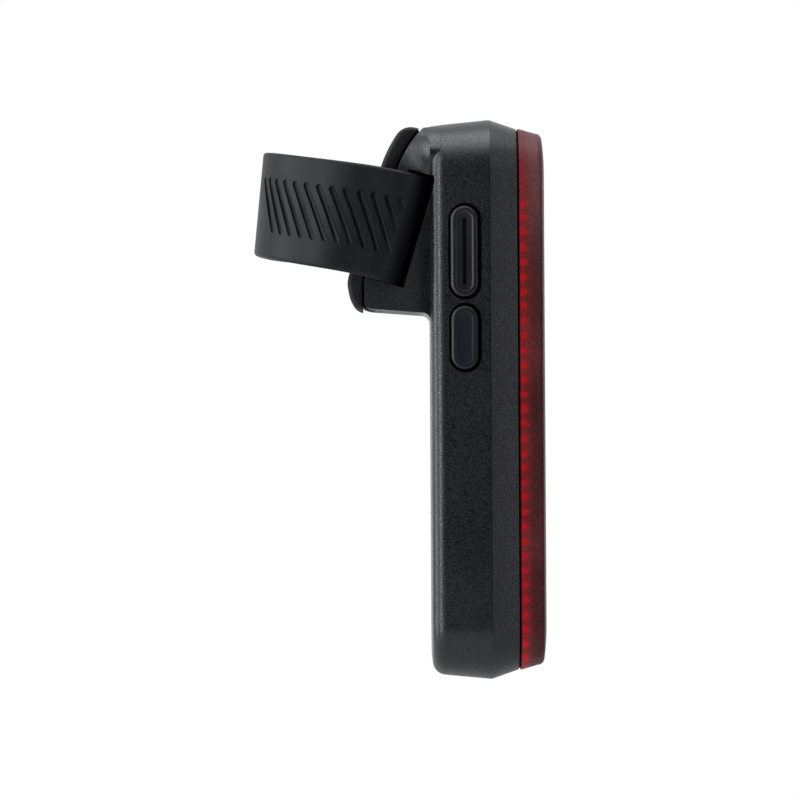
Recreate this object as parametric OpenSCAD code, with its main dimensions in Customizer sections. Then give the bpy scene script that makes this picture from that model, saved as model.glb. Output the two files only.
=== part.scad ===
// Bike rear light held to a seatpost by an elastic strap.
// The frame's origin is on the seatpost axis at the middle of the saddle pad.
// X points at the lens, Y across the light, Z up. Lengths are in millimetres.

/* [Housing] */
// Height of the housing at its belt crease
body_h = 100; // [94:1:112]
// Width of the housing at its belt crease
body_w = 38; // [37:0.5:44]
// Depth of the housing from its back to the lens seam
body_d = 15.4; // [15.3:0.1:17]
// Distance of the belt crease from the back
crease_x = 10.5; // [9:0.1:12]
// Corner radius of the housing seen from the front
corner_r = 10; // [8:0.5:12]
// Inward draft of the outline from the crease to the back
back_draft = 1; // [0.4:0.1:1.4]
// Inward draft of the outline from the crease to the seam
front_draft = 1.6; // [1:0.1:1.8]
// Rounding of the back edge
back_round = 1.8; // [1:0.1:2]
// Thickness of the side wall at the seam
side_wall = 1.2; // [1:0.1:1.4]
// Thickness of the back wall
back_wall = 2; // [1.6:0.1:2.2]

/* [Lens] */
// Depth of the lens in front of the seam
lens_d = 4.65; // [4.3:0.05:6]
// Wall thickness of the lens
lens_wall = 1.6; // [1.2:0.1:1.8]
// Inward draft of the lens sides
lens_draft = 0.85; // [0.7:0.05:1.3]
// Rounding of the lens front edge
lens_round = 1.2; // [0.8:0.1:1.5]
// Crown of the lens front face
lens_crown = 0.4; // [0.2:0.05:0.6]
// Thickness of the seal between the lens and the housing
seal_t = 0.35; // [0.25:0.05:0.6]
// Depth of the tongue that locates the lens in the housing
tongue_d = 2.2; // [1.5:0.1:2.6]
// Thickness of the locating tongue
tongue_t = 1.1; // [0.8:0.1:1.3]

/* [Seatpost mount] */
// Diameter of the tube that the saddle pad fits
post_d = 22.2; // [20:0.1:23]
// Lean of the seatpost from upright
post_tilt = 16.7; // [14:0.1:18]
// Distance of the seatpost axis behind the housing
post_back = 16.9; // [16.8:0.1:18.5]
// Height of the saddle's middle above the housing's middle
post_up = 31.4; // [30:0.1:32]
// Angle of the tube that the saddle pad wraps
saddle_angle = 128; // [116:1:132]
// Width of the saddle pad
pad_w = 24; // [23:0.1:24.4]
// Reach of the pad below its middle
pad_below = 14.1; // [13:0.1:14.4]
// Reach of the pad above its middle
pad_above = 20.6; // [19:0.1:20.7]
// Radius of the pad's lower corner seen from the side
pad_low_r = 4.9; // [3:0.1:6]
// Radius of the pad's upper tip seen from the side
pad_tip_r = 3.1; // [2.6:0.1:3.6]
// Thickness of the pad's rim
pad_rim = 2.6; // [2:0.1:2.8]
// Thickness of the pad behind the tube
pad_t = 1.2; // [1:0.1:1.4]
// Shadow gap between the pad's rim and the block
pad_gap = 0.42; // [0.2:0.02:0.6]
// Width of the saddle block
block_w = 29; // [28.5:0.1:29.4]
// Height of the block's underside at the housing, above the housing's middle
block_bottom = 15.5; // [14.5:0.1:15.8]
// Rise of the block's underside from the housing to its heel
block_rise = 0.7; // [0:0.1:1]
// Reach of the block's underside behind the housing
block_reach = 11.7; // [10.5:0.1:12]
// Radius of the block's shoulder below its top
shoulder_r = 21; // [18:0.5:24]
// Height above the saddle's middle at which the shoulder begins
shoulder_up = 11.3; // [10.5:0.1:11.8]
// Fillet between the block and the back of the housing
block_fillet = 1.5; // [0.8:0.1:2]

/* [Strap] */
// Width of the strap band
strap_w = 19; // [17:0.1:19.2]
// Thickness of the strap band
strap_t = 2.3; // [2:0.1:2.5]
// Inner radius of the strap loop
strap_r = 15.2; // [15.1:0.1:16]
// Distance from the seatpost axis to the far outside of the loop
strap_reach = 15; // [14.8:0.1:16]
// Height of the strap's middle above the saddle's middle
strap_up = 2.2; // [1.6:0.1:2.4]
// Clearance between the strap and its slots
strap_gap = 0.5; // [0.4:0.05:0.8]
// How far the hook end reaches behind the block's ear
hook_d = 3; // [2.4:0.1:3.2]
// Diameter of the pin at the strap's fixed end
pin_d = 2; // [1.6:0.1:2.2]
// Number of grip grooves
groove_count = 13; // [8:1:14]
// Spacing of the grip grooves along the strap
groove_pitch = 2.6; // [2.2:0.1:2.8]
// Width of a grip groove
groove_w = 0.7; // [0.4:0.1:1]
// Depth of a grip groove
groove_depth = 0.5; // [0.3:0.1:0.8]
// Length of a grip groove
groove_l = 10.4; // [8:0.1:12]
// Slant of the grip grooves
groove_slant = 28; // [10:1:30]

/* [Side controls] */
// Distance of the controls from the housing's back
control_x = 6; // [5.6:0.05:6.2]
// Height of the port cover's middle
port_z = 26.2; // [26:0.1:27]
// Length of the port cover
cover_l = 16.1; // [15:0.1:16.2]
// Width of the port cover
cover_w = 4.9; // [4.8:0.1:5.7]
// Height of the power button's middle
button_z = 10.95; // [9.5:0.05:11.1]
// Length of the power button
button_l = 11.3; // [10.5:0.1:11.4]
// Width of the power button
button_w = 4.8; // [4.6:0.1:5.4]
// Gap around the cover and the button
control_gap = 0.3; // [0.25:0.05:0.4]
// How far the cover and the button stand proud
control_proud = 0.4; // [0.2:0.05:0.6]
// Travel of the power button
button_travel = 0.8; // [0.5:0.05:0.9]
// Depth of the slit in the port cover
slit_d = 0.5; // [0.3:0.05:0.8]

/* [Electronics] */
// Thickness of the circuit boards
board_t = 1.2; // [1:0.1:1.3]
// Width of the main board
main_w = 26; // [24:0.5:27]
// Top of the main board above the housing's middle
main_top = 40; // [37:0.5:40]
// Length of the battery
battery_l = 42; // [36:0.5:43]
// Width of the battery
battery_w = 27; // [22:0.5:28]
// Thickness of the battery
battery_t = 6.2; // [5:0.1:6.4]
// Thickness of the foam pad under the battery
foam_t = 0.5; // [0.4:0.05:0.6]
// Height of the chassis plate above the inside of the back wall
chassis_up = 7; // [6.95:0.05:7.2]
// Thickness of the chassis plate
chassis_t = 1.4; // [1.2:0.1:1.5]
// Thickness of the aluminium heat spreader
spreader_t = 0.8; // [0.6:0.1:0.9]
// Rows of light sources
led_rows = 9; // [5:1:9]
// Spacing of the rows
led_pitch = 9; // [8.8:0.1:9.2]
// Distance between the two columns of light sources
led_column = 12.4; // [11:0.1:13]
// Side of a light source
led_w = 3; // [2.4:0.1:3]
// Height of a light source
led_t = 1; // [0.6:0.1:1.2]
// Depth of the reflector
reflector_d = 3.1; // [2.6:0.1:3.2]
// Mouth radius of a reflector cup
cup_r = 4.2; // [3.8:0.1:4.3]
// Depth of the light guide
guide_d = 1.9; // [1.4:0.1:2]
// Width of the light guide's frame
guide_w = 1.8; // [1.4:0.1:2]
// Diameter of the chassis screws
screw_d = 2; // [1.6:0.1:2.2]

/* [Hidden] */
$fn = 48;

// thin slice used at the corners of lofted shells
skin = 0.01;
// clearance of a fixed fit, of a pin or screw in its hole, and of a loose fit
fit = 0.02;
hole_fit = 0.06;
loose = 0.12;
// room kept between pieces that only pass each other
room = 0.3;

// housing and cavity
half_w = body_w / 2;
half_h = body_h / 2;
rim_inset = front_draft + side_wall;
cav_w = half_w - rim_inset;
cav_h = half_h - rim_inset;
cav_r = corner_r - rim_inset;
back_inset = back_draft * (1 - back_round / crease_x);
side_y = half_w - back_draft * (1 - control_x / crease_x);
boss_r = 1.2 * screw_d;
boss_y = cav_w - 1.7 * screw_d;
main_bottom = button_z - button_l / 2 - room - 0.1 * screw_d;
battery_top = main_bottom - 1.25 * screw_d;
boss_z = max(cav_h - 2.1 * screw_d, battery_l - battery_top + screw_d / 2 + room);
root_d = back_wall / 4;

// depth stack from the back wall to the lens
socket_h = 3.26;
parts_x = control_x - socket_h / 2;
board_x = parts_x - board_t;
standoff_h = board_x - back_wall;
chassis_x = back_wall + chassis_up;
spreader_x = chassis_x + chassis_t;
led_board_x = spreader_x + spreader_t;
led_x = led_board_x + board_t;
guide_x = led_x + reflector_d;
lens_x = body_d + seal_t;
lens_front = lens_x + lens_d;
tongue_w = cav_w - loose;
tongue_h = cav_h - loose;
optic_w = tongue_w - tongue_t - room;
optic_h = tongue_h - tongue_t - room;
optic_r = cav_r - tongue_t - room;
guide_out_w = optic_w - room;
guide_out_h = optic_h - room;
guide_r = optic_r - room;

// front boards end short of the chassis screws
screw_head_r = screw_d;
screw_head_t = 0.6 * screw_d;
screw_l = 2.5 * screw_d;
screw_hole_l = screw_l + screw_d / 4;
led_board_h = boss_z - screw_head_r - room;
led_board_w = optic_w - room;
standoff_r = 0.75 * screw_d;
standoff_in = 1.5 * screw_d;
lead_d = screw_d / 2;
lead_gap = 1.3 * lead_d;
plug_l = 5 * lead_d;
plug_h = 3 * lead_d;
lead_z = battery_top + 1.4 * plug_l;
link_w = main_w * 4 / 13;
link_h = chassis_up * 3 / 7;
link_z = main_top - link_w;
foam_in = 4 * foam_t;
chip_w = main_w * 3 / 13;

// seatpost mount, measured across the post from its axis
post_r = post_d / 2;
rim_u = post_r * cos(saddle_angle / 2);
face_u = rim_u + pad_rim + pad_gap;
ear_y = block_w / 2;
block_inset = back_draft + room;
block_top = half_h - block_inset;
root_x = back_wall / 2;
heel_r = 0.8 * block_fillet;
block_far = 60;
pad_core_inset = pad_t;
pad_drop = pad_low_r - pad_gap;
pad_cut_w = max(half_w, pad_w / 2 + 0.7 * corner_r);
arc_steps = 8;

// strap, measured across the post from its axis
strap_c = strap_r + strap_t - strap_reach;
hook_u = (post_back - (strap_up + strap_w / 2) * sin(post_tilt)) / cos(post_tilt) - strap_gap / 2;
hook_y = strap_r - hook_d;
slot_u = hook_u + 2 * strap_gap;
eye_r = 1.05 * pin_d;
pin_u = hook_u - eye_r + 0.2 * pin_d;
pin_y = ear_y - 0.95 * pin_d;
slot_half = strap_w / 2 + strap_gap;

// side controls
floor_y = cav_w + 0.2;
floor_in = cav_w - 1.6;
recess_l = cover_l + 2 * control_gap;
recess_w = cover_w + 2 * control_gap;
face_y = side_y + control_proud;
socket_l = 8.94;
socket_wall = 0.3;
socket_tongue_w = 6.6;
socket_tongue_t = 0.7;
socket_front = floor_y - 0.5;
socket_d = 7.3;
mouth_l = socket_l + 2 * control_gap;
mouth_h = socket_h + 2 * control_gap;
leaf_l = 0.6 * cover_w;
leaf_t = 1.1;
plug_d = 1.4;
slit_w = 0.75;
barb_r = 0.7;
barb_z = port_z + recess_l / 2 - 3 * barb_r;
switch_y = main_w / 2 + 0.4;
switch_w = 4.8;
switch_h = 3.2;
switch_d = 3.5;
plunger_l = 0.9;
stem_r = 1.2;
flange_w = button_w + 0.7;
flange_l = button_l - 2;
flange_t = 0.7;

// outline of the light seen from the front, as a flat shape
module rounded(w, h, r) {
  square([w - 2 * r, h], center = true);
  square([w, h - 2 * r], center = true);
  for (y = [-1, 1], z = [-1, 1])
    translate([y * (w / 2 - r), z * (h / 2 - r)]) circle(r, $fn = 32);
}

// straight-sided block of that outline between two depths
module prism(x0, x1, w, h, r) {
  translate([x0, 0, 0]) rotate([90, 0, 90]) linear_extrude(x1 - x0) rounded(2 * w, 2 * h, r);
}

// thin slice of the outline, drawn in by an inset
module slice(x, inset, w = half_w) {
  prism(x, x + skin, w - inset, half_h - inset, max(1.5, corner_r - inset));
}

// flat oval, long in its second direction
module oval(l, w) {
  square([w, l - w], center = true);
  for (end = [-1, 1])
    translate([0, end * (l - w) / 2]) circle(d = w);
}

// oval bar through the button side, from an inner to an outer distance
module side_oval(z, l, w, y_in, y_out) {
  translate([control_x, -y_in, z]) rotate([90, 0, 0]) linear_extrude(y_out - y_in) oval(l, w);
}

// box given by its two corners
module box(low, high) {
  translate(low) cube(high - low);
}

// moves the housing's frame to the one on the seatpost axis
module from_post() {
  translate([post_back, 0, -post_up]) children();
}

// puts a shape drawn along the seatpost into the housing's frame
module along_post() {
  translate([-post_back, 0, post_up]) rotate([0, post_tilt, 0]) children();
}

module body_outer(w = half_w) {
  hull() {
    for (a = [0 : 22.5 : 90])
      slice(back_round * (1 - sin(a)), back_inset + back_round * (1 - cos(a)), w);
    slice(crease_x, 0, w);
    slice(body_d - skin, front_draft, w);
  }
}

// points of an arc between two angles
function arc(centre, r, from, to) = [for (i = [0 : arc_steps])
  let (a = from + (to - from) * i / arc_steps) centre + r * [cos(a), sin(a)]];

// point in the side view, given across and along the seatpost
function side_point(u, v) = [-post_back + u * cos(post_tilt) + v * sin(post_tilt),
  post_up - u * sin(post_tilt) + v * cos(post_tilt)];

// saddle block seen from the side, grown at its face to leave the pad's shadow gap
// and lengthened downwards to clear what lies under it
module block_side(grow = 0, drop = 0) {
  face = face_u - grow;
  shoulder = side_point(face_u + shoulder_r, shoulder_up);
  round_r = shoulder_r + grow;
  top_a = asin(min(0.98, (block_top - shoulder[1]) / round_r));
  heel = -block_reach - grow;
  heel_v = (heel - side_point(face, 0)[0]) / sin(post_tilt);
  low = block_bottom - drop;
  polygon(concat([[root_x, block_top]], arc(shoulder, round_r, 180 - top_a, 180 - post_tilt),
    [side_point(face, heel_v)],
    arc([heel + heel_r, low + block_rise + heel_r], heel_r, 180, 270),
    arc([-block_fillet, low - block_fillet], block_fillet, 90, 0),
    [[root_x, low - block_fillet]]));
}

// saddle block seen along the seatpost
module block_plan() {
  side = [[0, pad_w / 2], [face_u, pad_w / 2], [face_u + 0.6, ear_y - 0.6], [face_u + 1.2, ear_y],
    [block_far, ear_y]];
  polygon(concat(side, [for (i = [4 : -1 : 0]) [side[i][0], -side[i][1]]]));
}

// undercut slot that the strap's hook end swings out of
module hook_slot() {
  tip = hook_u - strap_t - room;
  polygon([[tip - 1.6, -ear_y - 1], [tip - 1.5, -ear_y], [tip, -hook_y], [tip + 0.9, -hook_y + 1.6],
    [slot_u, -hook_y + 1.6], [slot_u, -ear_y - 1]]);
}

// slot around the strap's fixed end
module pin_slot() {
  translate([pin_u - eye_r - strap_gap, pin_y - eye_r - strap_gap])
    square([slot_u - pin_u + eye_r + strap_gap, eye_r + strap_gap + strap_r]);
}

module saddle_block() {
  difference() {
    intersection() {
      along_post() translate([0, 0, -2 * post_d]) linear_extrude(4 * post_d) block_plan();
      rotate([90, 0, 0]) linear_extrude(block_w + 2, center = true) block_side();
      prism(-2 * block_reach, root_x, half_w - block_inset, block_top, corner_r - block_inset);
    }
    along_post() cylinder(r = post_r + pad_t + fit, h = 4 * post_d, center = true);
    along_post() translate([0, 0, strap_up - slot_half]) linear_extrude(2 * slot_half) {
      hook_slot();
      pin_slot();
    }
    along_post() translate([pin_u, pin_y, strap_up])
      cylinder(d = pin_d + 2 * hole_fit, h = pin_l(), center = true);
  }
}

function pin_l() = 2 * (slot_half + 1.8);

module housing() {
  color("#191a1c") from_post() difference() {
    union() {
      difference() {
        body_outer();
        prism(back_wall, body_d + 1, cav_w, cav_h, cav_r);
      }
      saddle_block();
      for (y = [-1, 1], z = [-1, 1])
        translate([back_wall - root_d, y * boss_y, z * boss_z]) rotate([0, 90, 0])
          cylinder(r = boss_r, h = chassis_up + root_d);
      for (y = [-1, 1], z = [main_bottom + standoff_in, main_top - standoff_in])
        translate([back_wall - root_d, y * (main_w / 2 - standoff_in), z]) rotate([0, 90, 0])
          cylinder(r = standoff_r, h = standoff_h + root_d);
      box([back_wall - root_d, -cav_w - root_d, port_z - recess_l / 2 - root_d],
        [chassis_x - room, -floor_in, port_z + recess_l / 2 + root_d]);
    }
    side_oval(port_z, recess_l, recess_w, floor_y, half_w + 1);
    side_oval(port_z, mouth_l, mouth_h, floor_in - 1, floor_y + 1);
    side_oval(button_z, button_l + 2 * control_gap, button_w + 2 * control_gap, cav_w - 1, half_w + 1);
    for (y = [-1, 1], z = [-1, 1])
      translate([chassis_x - screw_hole_l, y * boss_y, z * boss_z]) rotate([0, 90, 0])
        cylinder(d = screw_d + 2 * hole_fit, h = screw_hole_l + 1);
    translate([control_x, -floor_in + 1, barb_z]) rotate([90, 0, 0])
      cylinder(r = barb_r + hole_fit, h = half_w - floor_in);
    box([back_wall + foam_t / 2, -battery_w / 2 - room, battery_top - battery_l - room],
      [back_wall + foam_t + battery_t + room, battery_w / 2 + room, battery_top + room]);
  }
}

module lens() {
  side_x = lens_front - lens_crown - lens_round;
  side_inset = front_draft + lens_draft;
  color([0.65, 0.03, 0.05, 0.6]) from_post() difference() {
    union() {
      hull() {
        slice(lens_x, front_draft);
        for (a = [0 : 30 : 90])
          slice(side_x + lens_round * sin(a), side_inset + lens_round * (1 - cos(a)));
        slice(lens_front - skin, half_w - 4);
      }
      prism(lens_x - tongue_d, lens_x + 0.6, tongue_w, tongue_h, cav_r - loose);
    }
    hull() {
      slice(lens_x + 0.5, rim_inset + loose + tongue_t);
      slice(side_x - 0.6 * lens_wall, side_inset + lens_wall);
      slice(lens_front - lens_crown - lens_wall, side_inset + lens_wall + lens_round);
    }
    prism(lens_x - tongue_d - 1, lens_x + 0.6, tongue_w - tongue_t, tongue_h - tongue_t,
      cav_r - loose - tongue_t);
  }
}

module lens_seal() {
  color("#220406") from_post() difference() {
    prism(body_d, lens_x, half_w - front_draft - room, half_h - front_draft - room,
      corner_r - front_draft);
    prism(body_d - 1, lens_x + 1, cav_w + 0.05, cav_h + 0.05, cav_r);
  }
}

// places of the light sources
module at_leds() {
  for (y = [-1, 1], row = [0 : led_rows - 1])
    translate([led_x, y * led_column / 2, (row - (led_rows - 1) / 2) * led_pitch]) children();
}

module reflector() {
  color("#d9d9dc") from_post() difference() {
    prism(led_x, guide_x, optic_w, optic_h, optic_r);
    at_leds() translate([-skin, 0, 0]) rotate([0, 90, 0])
      cylinder(r1 = led_w * 0.72 + room, r2 = cup_r, h = reflector_d + 2 * skin);
    for (y = [-1, 1], z = [-1, 1])
      translate([led_x - 1, y * boss_y, z * boss_z]) rotate([0, 90, 0])
        cylinder(r = screw_head_r + room, h = reflector_d);
  }
}

module light_guide() {
  color([0.75, 0.05, 0.07, 0.8]) from_post() difference() {
    prism(guide_x, guide_x + guide_d, guide_out_w, guide_out_h, guide_r);
    prism(guide_x - 1, guide_x + guide_d + 1, guide_out_w - guide_w, guide_out_h - guide_w,
      guide_r - guide_w);
  }
}

module leds() {
  color("#e8e0c0") from_post() at_leds()
    box([0, -led_w / 2, -led_w / 2], [led_t, led_w / 2, led_w / 2]);
}

module led_board() {
  color("#f2f2f0") from_post() prism(led_board_x, led_x, led_board_w, led_board_h, 2);
}

module heat_spreader() {
  color("#b9bcc0") from_post() prism(spreader_x, led_board_x, led_board_w - 0.5, led_board_h - 0.5, 2);
}

module chassis() {
  color("#2c2d30") from_post() difference() {
    prism(chassis_x, spreader_x, cav_w - room, cav_h - room, cav_r - room);
    for (y = [-1, 1], z = [-1, 1])
      translate([chassis_x - 1, y * boss_y, z * boss_z]) rotate([0, 90, 0])
        cylinder(d = screw_d + 2 * loose, h = chassis_t + 2);
    translate([chassis_x - 1, -link_w / 2 - room, link_z - link_h / 2 - room])
      cube([chassis_t + 2, link_w + 2 * room, link_h + 2 * room]);
  }
}

module chassis_screws() {
  color("#9a9ca0") from_post() for (y = [-1, 1], z = [-1, 1])
    translate([0, y * boss_y, z * boss_z]) rotate([0, 90, 0]) {
      translate([0, 0, chassis_x - screw_l]) cylinder(d = screw_d, h = screw_l + chassis_t + skin);
      translate([0, 0, spreader_x]) cylinder(r = screw_head_r, h = screw_head_t);
    }
}

module main_board() {
  color("#14502c") from_post()
    box([board_x, -main_w / 2, main_bottom], [parts_x, main_w / 2, main_top]);
}

// package on the main board, given by its middle and its size
module chip(y, z, w, h, t) {
  translate([parts_x, y - w / 2, z - h / 2]) cube([t, w, h]);
}

module chips() {
  color("#1b1b1d") from_post() {
    chip(main_w * 0.19, port_z, chip_w, chip_w, board_t);
    chip(main_w * 0.19, button_z, chip_w * 2 / 3, chip_w * 2 / 3, board_t * 5 / 6);
    chip(-main_w * 0.27, main_top - chip_w / 2, chip_w * 2 / 3, chip_w / 2, board_t * 4 / 3);
  }
}

module usb_socket() {
  color("#c4c6c9") from_post() translate([control_x, 0, port_z]) rotate([90, 0, 0])
    translate([0, 0, socket_front - socket_d]) {
      difference() {
        linear_extrude(socket_d) oval(socket_l, socket_h);
        translate([0, 0, 3 * socket_wall]) linear_extrude(socket_d)
          oval(socket_l - 2 * socket_wall, socket_h - 2 * socket_wall);
      }
      translate([-socket_tongue_t / 2, -socket_tongue_w / 2, 0])
        cube([socket_tongue_t, socket_tongue_w, socket_d - socket_h * 0.6]);
    }
}

module tact_switch() {
  color("#55585c") from_post() {
    translate([parts_x, plunger_l - switch_y, button_z - switch_w / 2])
      cube([switch_h, switch_d, switch_w]);
    translate([control_x, plunger_l - switch_y + skin, button_z]) rotate([90, 0, 0])
      cylinder(r = stem_r - 0.2, h = plunger_l + skin);
  }
}

module lead_plug() {
  color("#e6e2d2") from_post()
    translate([parts_x, -lead_gap, lead_z - plug_l / 2]) cube([plug_h, 2 * lead_gap, plug_l]);
}

module board_link() {
  color("#202124") from_post()
    box([parts_x, -link_w / 2, link_z - link_h / 2], [spreader_x, link_w / 2, link_z + link_h / 2]);
}

module battery() {
  x0 = back_wall + foam_t;
  color("#4a6f9a") from_post()
    translate([x0, -battery_w / 2, battery_top - battery_l]) cube([battery_t, battery_w, battery_l]);
}

module battery_pad() {
  color("#3a3a3a") from_post()
    box([back_wall, foam_in - battery_w / 2, battery_top - battery_l + foam_in],
      [back_wall + foam_t, battery_w / 2 - foam_in, battery_top - foam_in]);
}

// two wires from the top of the battery up to the plug on the main board
module battery_leads() {
  wire_x = parts_x + plug_h / 2;
  for (side = [-1, 1])
    color(side < 0 ? "#b3201d" : "#17181a") from_post()
      translate([wire_x, side * lead_gap / 2, battery_top])
        cylinder(d = lead_d, h = lead_z - plug_l / 2 - battery_top);
}

module power_button() {
  color("#2a2d31") from_post() {
    side_oval(button_z, button_l, button_w, cav_w - room, face_y);
    translate([control_x - flange_w / 2, room - cav_w, button_z - flange_l / 2])
      cube([flange_w, flange_t, flange_l]);
    translate([control_x, -switch_y - button_travel - loose, button_z]) rotate([90, 0, 0])
      cylinder(r = stem_r, h = cav_w - room - switch_y - button_travel - loose);
  }
}

module port_cover() {
  top = port_z + cover_l / 2;
  color("#222427") from_post() difference() {
    union() {
      side_oval(port_z, cover_l, cover_w, floor_y + room, face_y);
      side_oval(port_z + room, socket_l * 0.83, socket_h * 0.67, floor_y - plug_d, floor_y + 1);
    }
    side_oval(port_z, cover_l - cover_w + 2 * slit_w, slit_w, face_y - slit_d, face_y + 1);
    box([control_x - cover_w, -face_y + leaf_t, top - leaf_l], [control_x + cover_w, 0, top + 1]);
  }
}

// flexible leaf under the cover's top end, with its barb in the housing
module port_tether() {
  head = 1.4 * barb_r;
  color("#1d1e20") from_post() {
    box([control_x - head, -floor_y - barb_r, barb_z - head], [control_x + head, -floor_y, barb_z + head]);
    translate([control_x, -floor_in, barb_z]) rotate([90, 0, 0])
      cylinder(r = barb_r, h = floor_y - floor_in + barb_r / 2);
  }
}

// saddle pad seen along the seatpost's side, reaching back into the block
module pad_side(inset) {
  back = post_r + pad_t + 1;
  low = [rim_u + pad_low_r, pad_low_r - pad_below];
  shoulder = [face_u + shoulder_r, shoulder_up];
  outer_r = shoulder[0] - rim_u;
  tip_v = pad_above - pad_tip_r;
  tip_a = asin((tip_v - shoulder_up) / (outer_r - pad_tip_r));
  tip = [shoulder[0] - (outer_r - pad_tip_r) * cos(tip_a), tip_v];
  polygon(concat([[back, inset - pad_below]], arc(low, pad_low_r - inset, 270, 180),
    arc(shoulder, outer_r - inset, 180, 180 - tip_a), arc(tip, pad_tip_r - inset, 180 - tip_a, 90),
    [[back, pad_above - inset]]));
}

// that shape as a slab across the seatpost
module pad_slab(w, inset) {
  along_post() rotate([90, 0, 0]) linear_extrude(w, center = true) pad_side(inset);
}

module saddle_pad() {
  core_w = pad_w - 2 * pad_core_inset;
  color("#1c1d1f") from_post() difference() {
    union() {
      difference() {
        pad_slab(pad_w, 0);
        rotate([90, 0, 0]) linear_extrude(pad_w + 2, center = true) block_side(pad_gap, pad_drop);
      }
      difference() {
        pad_slab(core_w, pad_core_inset);
        rotate([90, 0, 0]) linear_extrude(pad_w + 2, center = true) block_side(0, pad_drop);
      }
      intersection() {
        pad_slab(core_w, pad_core_inset);
        along_post() cylinder(r = post_r + pad_t, h = 4 * post_d, center = true);
      }
    }
    along_post() cylinder(r = post_r, h = 4 * post_d, center = true);
    body_outer(pad_cut_w);
  }
}

// half of the strap's ring, on the side of +Y or -Y
module half_ring(side) {
  ring = strap_r + strap_t;
  intersection() {
    translate([strap_c, 0]) difference() {
      circle(ring, $fn = 96);
      circle(strap_r, $fn = 96);
    }
    translate([strap_c - ring, side > 0 ? room / 2 : -ring]) square([ring, ring - room / 2]);
  }
}

// strap band of a flat shape, at its height on the seatpost
module band() {
  from_post() along_post() translate([0, 0, strap_up - strap_w / 2]) linear_extrude(strap_w) children();
}

module strap_band() {
  color("#1f2124") difference() {
    band() {
      half_ring(1);
      translate([strap_c, strap_r]) square([pin_u + eye_r - strap_c - 1, strap_t]);
      translate([pin_u - eye_r, pin_y]) square([2 * eye_r - 1, strap_r + strap_t - pin_y]);
      translate([pin_u, pin_y]) circle(eye_r);
    }
    from_post() along_post() translate([pin_u, pin_y, strap_up])
      cylinder(d = pin_d + 2 * hole_fit, h = 2 * strap_w, center = true);
  }
}

// slanted grip groove at a distance along the strap from its far end
module groove(s) {
  ring = strap_r + strap_t;
  turn = min(90, s / ring * 180 / PI);
  past = max(0, s - ring * PI / 2);
  translate([strap_c + past, 0, strap_up]) rotate([0, 0, 180 + turn])
    translate([ring - groove_depth, 0, 0]) rotate([groove_slant, 0, 0])
      translate([0, -groove_w / 2, -groove_l / 2]) cube([groove_depth + 1, groove_w, groove_l]);
}

module strap_tail() {
  color("#1f2124") difference() {
    band() {
      half_ring(-1);
      translate([strap_c, -strap_r - strap_t]) square([hook_u - strap_t - strap_c, strap_t]);
      intersection() {
        translate([hook_u - strap_t, -strap_r]) circle(strap_t);
        translate([hook_u - strap_t, -strap_r - strap_t]) square(strap_t);
      }
      translate([hook_u - strap_t, -strap_r]) square([strap_t, hook_d]);
    }
    from_post() along_post()
      for (i = [0 : groove_count - 1]) groove((i + 0.8) * groove_pitch);
  }
}

module strap_pin() {
  color("#a6a8ab") from_post() along_post() translate([pin_u, pin_y, strap_up])
    cylinder(d = pin_d, h = pin_l() - 2 * fit, center = true);
}

housing();
lens();
lens_seal();
reflector();
light_guide();
leds();
led_board();
heat_spreader();
chassis();
chassis_screws();
main_board();
chips();
usb_socket();
tact_switch();
lead_plug();
board_link();
battery();
battery_pad();
battery_leads();
power_button();
port_cover();
port_tether();
saddle_pad();
strap_band();
strap_tail();
strap_pin();
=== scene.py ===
import math
import bpy
from mathutils import Matrix, Vector


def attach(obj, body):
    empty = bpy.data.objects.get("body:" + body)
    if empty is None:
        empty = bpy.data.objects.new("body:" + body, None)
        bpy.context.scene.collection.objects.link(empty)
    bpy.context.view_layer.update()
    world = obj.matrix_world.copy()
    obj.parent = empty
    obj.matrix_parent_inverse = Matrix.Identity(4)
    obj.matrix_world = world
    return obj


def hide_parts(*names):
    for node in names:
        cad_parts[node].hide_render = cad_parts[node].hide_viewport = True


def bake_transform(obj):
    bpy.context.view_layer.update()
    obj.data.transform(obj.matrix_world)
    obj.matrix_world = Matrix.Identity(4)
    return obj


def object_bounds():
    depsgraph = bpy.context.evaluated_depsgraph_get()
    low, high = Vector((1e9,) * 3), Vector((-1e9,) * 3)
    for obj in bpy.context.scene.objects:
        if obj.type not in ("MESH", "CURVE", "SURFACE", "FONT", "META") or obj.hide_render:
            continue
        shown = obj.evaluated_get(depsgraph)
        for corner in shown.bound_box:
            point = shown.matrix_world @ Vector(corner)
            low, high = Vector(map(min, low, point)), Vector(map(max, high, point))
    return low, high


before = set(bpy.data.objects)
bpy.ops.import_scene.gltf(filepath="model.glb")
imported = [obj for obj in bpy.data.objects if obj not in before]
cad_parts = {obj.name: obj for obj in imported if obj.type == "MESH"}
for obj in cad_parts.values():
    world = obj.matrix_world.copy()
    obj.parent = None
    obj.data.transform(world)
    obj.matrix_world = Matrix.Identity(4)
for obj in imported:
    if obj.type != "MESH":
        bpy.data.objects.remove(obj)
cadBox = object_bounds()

mm = 0.001
postTilt = math.radians(16.7)
postBack, postUp = 16.9, 31.4
print("frame loaded:", len(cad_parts), "nodes")


# places, from millimetres to the frame's metres
def inBody(x, y, z):  # from the housing's back and its middle height
    return Vector((x + postBack, y, z - postUp)) * mm


def onPost(u, y, v):  # across, beside and along the seatpost
    return Vector((u * math.cos(postTilt) + v * math.sin(postTilt), y,
                   v * math.cos(postTilt) - u * math.sin(postTilt))) * mm


def sidePoint(u, v):  # the same in the side view, as the housing's x and z
    place = onPost(u, 0, v) / mm
    return place.x - postBack, place.z + postUp


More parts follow.
